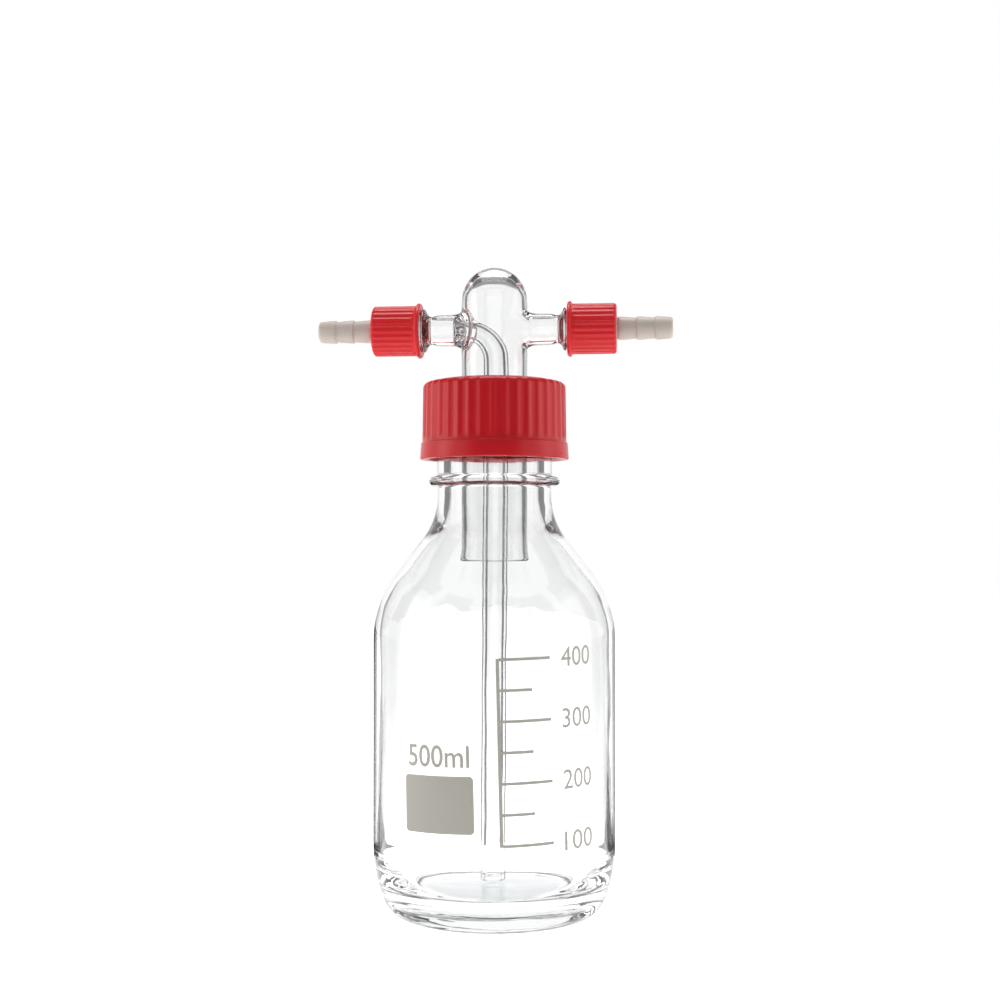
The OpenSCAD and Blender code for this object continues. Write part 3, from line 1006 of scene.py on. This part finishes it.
def flat_text(bm, words, left, low, width, height, weight):
    """Numerals as flat faces in the X-Z plane, fitted to a width and a height, as bold as asked."""
    curve = bpy.data.curves.new("figures", "FONT")
    curve.body = words
    curve.resolution_u = 6
    curve.offset = weight
    holder = bpy.data.objects.new("figures", curve)
    mesh = bpy.data.meshes.new_from_object(holder)
    across = [vert.co.x for vert in mesh.vertices]
    wide = width / (max(across) - min(across))
    tall = height / max(vert.co.y for vert in mesh.vertices)
    turn = Matrix.Rotation(math.pi / 2, 4, "X")
    place = Matrix.Translation((left - min(across) * wide, 0, low))
    mesh.transform(place @ turn @ Matrix.Diagonal((wide, tall, 1, 1)))
    bm.from_mesh(mesh)
    bpy.data.objects.remove(holder)
    bpy.data.meshes.remove(mesh)
    bpy.data.curves.remove(curve)


def add_print(bm, name, enamel, tilt):
    """Turns a flat print out of true, cuts it fine and lays it round the bottle as thin enamel."""
    turn = Matrix.Rotation(-tilt, 3, "Y")
    bmesh.ops.rotate(bm, cent=PRINT_MIDDLE_Z * Z_AXIS, matrix=turn, verts=bm.verts)
    bmesh.ops.remove_doubles(bm, verts=bm.verts, dist=1e-4)
    low = math.floor(min(vert.co.x for vert in bm.verts))
    high = math.ceil(max(vert.co.x for vert in bm.verts))
    for x in range(low, high + 1):
        everything = bm.verts[:] + bm.edges[:] + bm.faces[:]
        bmesh.ops.bisect_plane(bm, geom=everything, plane_co=(x, 0, 0), plane_no=(1, 0, 0), dist=1e-5)
    for vert in bm.verts:
        angle = vert.co.x / BODY_R - math.pi / 2
        set_polar(vert, BODY_R + PRINT_GAP, angle)
    bmesh.ops.recalc_face_normals(bm, faces=bm.faces)
    bm.normal_update()
    facing = sum(face.normal.dot(face.calc_center_median() * Vector((1, 1, 0))) for face in bm.faces)
    if facing < 0:
        bmesh.ops.reverse_faces(bm, faces=bm.faces)
    lift = bmesh.ops.extrude_face_region(bm, geom=bm.faces[:], use_keep_orig=True)["geom"]
    for item in lift:
        if isinstance(item, bmesh.types.BMVert):
            radius, angle = polar(item)
            set_polar(item, radius + PRINT_THICK, angle)
    add_piece(bm, name, enamel, "vessel", crease=30)


class WASHBOTTLE_OT_scale(bpy.types.Operator):
    """Print the volume scale, its figures and the write-on field"""

    bl_idname = "washbottle.scale"
    bl_label = "Print Scale"

    def execute(self, context):
        sizes = context.scene.scale_sizes
        low = sizes.lowest / MM
        spacing = sizes.spacing / MM
        figure = sizes.figure / MM
        enamel = enamel_material()

        bm = bmesh.new()
        top = low + 3 * spacing
        flat_panel(bm, SCALE_X, low - 0.3, SCALE_X + RAIL_WIDE, top + 0.3)
        for step in range(7):
            height = low + step * spacing / 2
            reach = LONG_TICK if step % 2 == 0 else SHORT_TICK
            flat_panel(
                bm, SCALE_X + RAIL_WIDE, height - TICK_WIDE / 2, SCALE_X + reach, height + TICK_WIDE / 2
            )
        add_print(bm, "scale_lines", enamel, sizes.tilt)

        bm = bmesh.new()
        for step in range(4):
            height = low + step * spacing - figure * 0.5
            flat_text(bm, str(100 * (step + 1)), FIGURE_X, height, FIGURE_WIDE, figure, FIGURE_WEIGHT)
        flat_text(bm, "500ml", VOLUME_X, VOLUME_Z, VOLUME_WIDE, VOLUME_H, VOLUME_WEIGHT)
        add_print(bm, "scale_figures", enamel, sizes.tilt)

        bm = bmesh.new()
        flat_panel(bm, *FIELD, corner=FIELD_ROUND)
        add_print(bm, "write_on_field", enamel, sizes.tilt)
        return {"FINISHED"}


# -------- studio

# How far the camera leans up and turns to the right, in degrees
CAMERA_PITCH = 1.44
CAMERA_YAW = 0.21
CARD_AWAY = 0.8
CARD_LIFT = 0.0004
CARDS = (
    # name, quarter turns it stands at, degrees round from straight behind, how far beside the
    # axis and how far off its strip starts, its height, how light it is, and whether it acts
    # through the glass instead of in reflections
    ("left_card", (0, 2), 34, 80, 0.0, 0.085, 0.75, 0.12, True),
    ("right_card", (0, 2), -80, -34, 0.0, 0.085, 0.75, 0.12, True),
    ("left_low_card", (0, 1, 2, 3), 8, 32, 0.046, 0.08, 0.079, 0.02, False),
    ("right_low_card", (0, 1, 2, 3), -32, -8, 0.046, 0.08, 0.079, 0.25, False),
)
FLAG_AWAY = 0.72
FLAG_HALF = 40.0
FLAG_LOW = 0.02
FLAG_HIGH = 0.55
FLAG_LIGHT = 0.05
LAMP_AIM_Z = 0.15
LAMPS = (
    # name, turn round the bottle from the camera, distance, height, width, tall, watts
    ("left_softbox", -84, 0.62, 0.30, 0.25, 0.50, 0.7),
    ("right_softbox", 88, 0.62, 0.30, 0.25, 0.50, 0.4),
    ("overhead_softbox", 180, 0.12, 0.85, 0.45, 0.45, 3.4),
)


def round_about(turn, away, height):
    """A place that far round from the front to the right, that far from the axis."""
    return Vector((away * math.sin(turn), -away * math.cos(turn), height))


def strip(low, top):
    """The faces between two rows of places."""
    return list(zip(low, low[1:], top[1:], top))


def sheet_of(name, faces, light, hidden_from):
    """Makes faces of an even light that the named kinds of ray don't meet."""
    material, wire, output = new_material(name)
    shade = wire.node("Emission", inputs={"Color": (light, light, light, 1)})
    bm = bmesh.new()
    for corners in faces:
        bm.faces.new([bm.verts.new(corner) for corner in corners])
    sheet = object_of(bm, name, finished(material, shade, output))
    for ray in hidden_from:
        setattr(sheet, "visible_" + ray, False)
    return sheet


def white_room(scene, brightness):
    """A room that is white all round and grey overhead."""
    world = bpy.data.worlds.new("white_room")
    world.use_nodes = True
    wire = Wire(world.node_tree)
    towards = wire.node("TexCoord", output="Generated")
    height = wire.node("SeparateXYZ", inputs={"Vector": towards}, output="Z")
    ceiling = wire.node("MapRange", inputs={"Value": height, "From Min": 0.50, "From Max": 0.55})
    back = world.node_tree.nodes["Background"]
    shade = tinted(wire, ceiling, (1, 1, 1), (0.20, 0.20, 0.205))
    world.node_tree.links.new(shade.socket, back.inputs["Color"])
    back.inputs["Strength"].default_value = brightness
    scene.world = world


def make_floor():
    """A pale floor that glows evenly, with a painted shadow right under the bottle where its glow is
    dimmed.
    """
    bm = bmesh.new()
    bmesh.ops.create_circle(bm, cap_ends=True, segments=64, radius=3.0)
    material, wire, output = new_material("pale_floor")
    place = wire.node("TexCoord", output="Object")
    away = wire.node("VectorMath", {"operation": "LENGTH"}, {0: place}, output="Value")
    # painted shadow: the floor's glow falls to a dark grey within 24 mm of the bottle's axis and comes
    # back by 46 mm
    painted_shadow_fade = wire.node("MapRange", inputs={"Value": away, "From Min": 0.024, "From Max": 0.046})
    inputs = {
        "Base Color": tinted(wire, noise_on(wire, 0.4, 2.0), (0.93, 0.93, 0.93), (0.90, 0.90, 0.90)),
        "Roughness": 0.7,
        "Emission Color": tinted(wire, painted_shadow_fade, (0.12, 0.12, 0.125), (1, 1, 1)),
        "Emission Strength": 0.72,
    }
    shader = wire.node("BsdfPrincipled", inputs=inputs)
    floor = object_of(bm, "floor", finished(material, shader, output))


def behind(angle, beside, away):
    """A place just above the floor, that far away and that many degrees off straight behind."""
    lean = math.radians(angle)
    across = away * math.sin(lean) + math.copysign(beside, angle)
    return Vector((-across, away * math.cos(lean), CARD_LIFT))


def cards(start):
    """Dark cards and floor strips round the glass, so that its edges draw lines."""
    for name, quarters, begin, end, beside, start_away, high, light, bent in CARDS:
        faces = []
        angles = [begin + (end - begin) * step / 4 for step in range(5)]
        for quarter in quarters:
            turn = Matrix.Rotation(start + quarter * math.pi / 2, 3, "Z")
            near, far = (
                [turn @ behind(angle, beside, away) for angle in angles]
                for away in (start_away, CARD_AWAY)
            )
            raised = [place + high * Z_AXIS for place in far]
            faces += strip(near, far) + strip(far, raised)
        unmet = "glossy" if bent else "transmission"
        card = sheet_of(name, faces, light, ("camera", "diffuse", "shadow", unmet))


def front_flag(start):
    """A dark flag behind the camera keeps the front of the caps deeper than their sides."""
    edges = [start + math.radians(FLAG_HALF * step / 4) for step in range(-4, 5)]
    low, top = (
        [round_about(turn, FLAG_AWAY, height) for turn in edges] for height in (FLAG_LOW, FLAG_HIGH)
    )
    unmet = ("camera", "transmission", "shadow")
    flag = sheet_of("front_flag", strip(low, top), FLAG_LIGHT, unmet)


class WASHBOTTLE_OT_stage(bpy.types.Operator):
    """Set up the pale floor, the white room with its dark cards, the lamps and the camera"""

    bl_idname = "washbottle.stage"
    bl_label = "Set Up Studio"

    def execute(self, context):
        scene = context.scene
        settings = scene.studio_settings
        white_room(scene, settings.sky)
        make_floor()
        cards(settings.turn)
        front_flag(settings.turn)
        for name, turn, away, height, wide, tall, watts in LAMPS:
            light = bpy.data.lights.new(name, "AREA")
            light.shape = "RECTANGLE"
            light.size = wide
            light.size_y = tall
            light.energy = watts
            lamp = bpy.data.objects.new(name, light)
            lamp.location = round_about(settings.turn + math.radians(turn), away, height)
            towards = LAMP_AIM_Z * Z_AXIS - lamp.location
            lamp.rotation_euler = towards.to_track_quat("-Z", "Y").to_euler()
            lamp.visible_camera = lamp.visible_transmission = False
            scene.collection.objects.link(lamp)
        lens = bpy.data.cameras.new("camera")
        lens.sensor_width = 36
        lens.lens = settings.lens
        lens.clip_start = 0.01
        camera = bpy.data.objects.new("camera", lens)
        camera.location = round_about(settings.turn, settings.distance, settings.height)
        pitch, yaw = math.radians(90 + CAMERA_PITCH), math.radians(CAMERA_YAW)
        camera.rotation_euler = (pitch, 0, settings.turn - yaw)
        scene.collection.objects.link(camera)
        scene.camera = camera
        scene.view_settings.view_transform = "Standard"
        scene.cycles.max_bounces = scene.cycles.transparent_max_bounces = 32
        scene.cycles.transmission_bounces = 28
        scene.cycles.glossy_bounces = 12
        return {"FINISHED"}


# -------- panel and start

STEPS = (
    WASHBOTTLE_OT_bottle,
    WASHBOTTLE_OT_head,
    WASHBOTTLE_OT_large_cap,
    WASHBOTTLE_OT_small_caps,
    WASHBOTTLE_OT_connectors,
    WASHBOTTLE_OT_rings,
    WASHBOTTLE_OT_scale,
    WASHBOTTLE_OT_stage,
)
SETTINGS = {
    "bottle_sizes": BottleSizes,
    "head_sizes": HeadSizes,
    "cap_sizes": CapSizes,
    "scale_sizes": ScaleSizes,
    "bottle_finishes": Finishes,
    "studio_settings": StudioSettings,
}


class WASHBOTTLE_PT_panel(bpy.types.Panel):
    """Sizes, colours and one button for each piece"""

    bl_idname = "WASHBOTTLE_PT_panel"
    bl_label = "Gas Washing Bottle"
    bl_space_type = "VIEW_3D"
    bl_region_type = "UI"
    bl_category = "Washing Bottle"

    def draw(self, context):
        for name, group in SETTINGS.items():
            box = self.layout.box()
            for setting in group.__annotations__:
                box.prop(getattr(context.scene, name), setting)
        for step in STEPS:
            self.layout.operator(step.bl_idname)


def register():
    for name, group in SETTINGS.items():
        bpy.utils.register_class(group)
        setattr(bpy.types.Scene, name, PointerProperty(type=group))
    for step in STEPS + (WASHBOTTLE_PT_panel,):
        bpy.utils.register_class(step)


def unregister():
    for step in (WASHBOTTLE_PT_panel,) + STEPS[::-1]:
        bpy.utils.unregister_class(step)
    for name, group in SETTINGS.items():
        delattr(bpy.types.Scene, name)
        bpy.utils.unregister_class(group)


def main():
    register()
    for step in STEPS:
        family, name = step.bl_idname.split(".")
        if getattr(getattr(bpy.ops, family), name)() != {"FINISHED"}:
            raise RuntimeError(step.bl_label + " did not finish")


if __name__ == "__main__":
    main()
